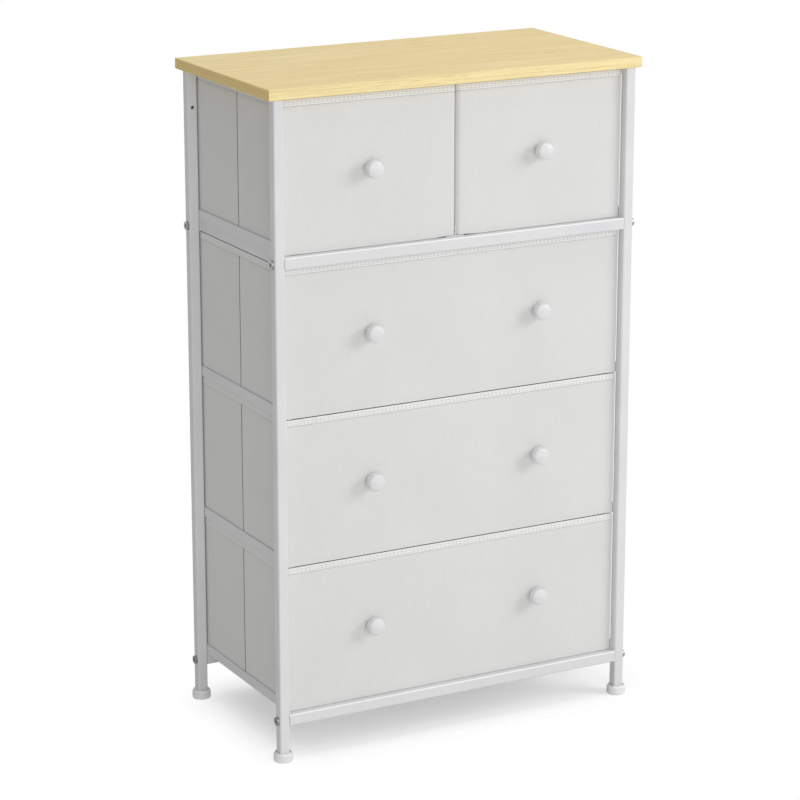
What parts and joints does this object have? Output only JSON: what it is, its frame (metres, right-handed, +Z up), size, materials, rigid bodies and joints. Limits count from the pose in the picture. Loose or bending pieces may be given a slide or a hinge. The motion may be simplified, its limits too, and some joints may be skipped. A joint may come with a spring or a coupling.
{
  "type": "fabric drawer dresser",
  "caption": "Tall narrow dresser with a white steel tube frame, oak-look top and pale fabric drawers that slide on folded side rails and carry round knobs.",
  "frame": {"origin": "on the floor, under the middle of the box round the whole dresser, knobs included", "axes": "+X to the dresser's right as seen from the front, +Y to the back, +Z up; drawers open towards -Y"},
  "size_m": [0.58, 0.3076, 0.95],
  "materials": {
    "white_steel": "white powder coat, satin",
    "oak_laminate": "pale oak-look laminate, matt",
    "drawer_fabric": "off-white non-woven linen-look fabric",
    "fibre_board": "fibre board faced in pale paper",
    "knob_plastic": "white, semi-gloss",
    "foot_plastic": "white, matt",
    "bolt_steel": "dark zinc"
  },
  "bodies": {
    "frame": {"top_panel": "oak_laminate", "post_front_left": "white_steel", "post_front_right": "white_steel", "post_rear_left": "white_steel", "post_rear_right": "white_steel", "foot_front_left": "foot_plastic", "foot_front_right": "foot_plastic", "foot_rear_left": "foot_plastic", "foot_rear_right": "foot_plastic", "upper_front_rail": "white_steel", "upper_rear_rail": "white_steel", "lower_front_rail": "white_steel", "lower_rear_rail": "white_steel", "upper_side_rail_left": "white_steel", "upper_side_rail_right": "white_steel", "second_side_rail_left": "white_steel", "second_side_rail_right": "white_steel", "third_side_rail_left": "white_steel", "third_side_rail_right": "white_steel", "lower_side_rail_left": "white_steel", "lower_side_rail_right": "white_steel", "top_strip_left": "white_steel", "top_strip_right": "white_steel", "centre_rail": "white_steel", "frame_bolts": "bolt_steel"},
    "top_left_drawer": {"top_left_drawer_fabric_box": "drawer_fabric", "top_left_drawer_front_board": "fibre_board", "top_left_drawer_base_board": "fibre_board", "top_left_drawer_knob": "knob_plastic"},
    "top_right_drawer": {"top_right_drawer_fabric_box": "drawer_fabric", "top_right_drawer_front_board": "fibre_board", "top_right_drawer_base_board": "fibre_board", "top_right_drawer_knob": "knob_plastic"},
    "upper_drawer": {"upper_drawer_fabric_box": "drawer_fabric", "upper_drawer_front_board": "fibre_board", "upper_drawer_base_board": "fibre_board", "upper_drawer_knob_left": "knob_plastic", "upper_drawer_knob_right": "knob_plastic"},
    "middle_drawer": {"middle_drawer_fabric_box": "drawer_fabric", "middle_drawer_front_board": "fibre_board", "middle_drawer_base_board": "fibre_board", "middle_drawer_knob_left": "knob_plastic", "middle_drawer_knob_right": "knob_plastic"},
    "lower_drawer": {"lower_drawer_fabric_box": "drawer_fabric", "lower_drawer_front_board": "fibre_board", "lower_drawer_base_board": "fibre_board", "lower_drawer_knob_left": "knob_plastic", "lower_drawer_knob_right": "knob_plastic"}
  },
  "joints": [
    {"name": "top_left_drawer_slide", "type": "slide", "parent": "frame", "child": "top_left_drawer", "axis": [0, -1, 0], "range_m": [0, 0.2]},
    {"name": "top_right_drawer_slide", "type": "slide", "parent": "frame", "child": "top_right_drawer", "axis": [0, -1, 0], "range_m": [0, 0.2]},
    {"name": "upper_drawer_slide", "type": "slide", "parent": "frame", "child": "upper_drawer", "axis": [0, -1, 0], "range_m": [0, 0.2]},
    {"name": "middle_drawer_slide", "type": "slide", "parent": "frame", "child": "middle_drawer", "axis": [0, -1, 0], "range_m": [0, 0.2]},
    {"name": "lower_drawer_slide", "type": "slide", "parent": "frame", "child": "lower_drawer", "axis": [0, -1, 0], "range_m": [0, 0.2]}
  ]
}
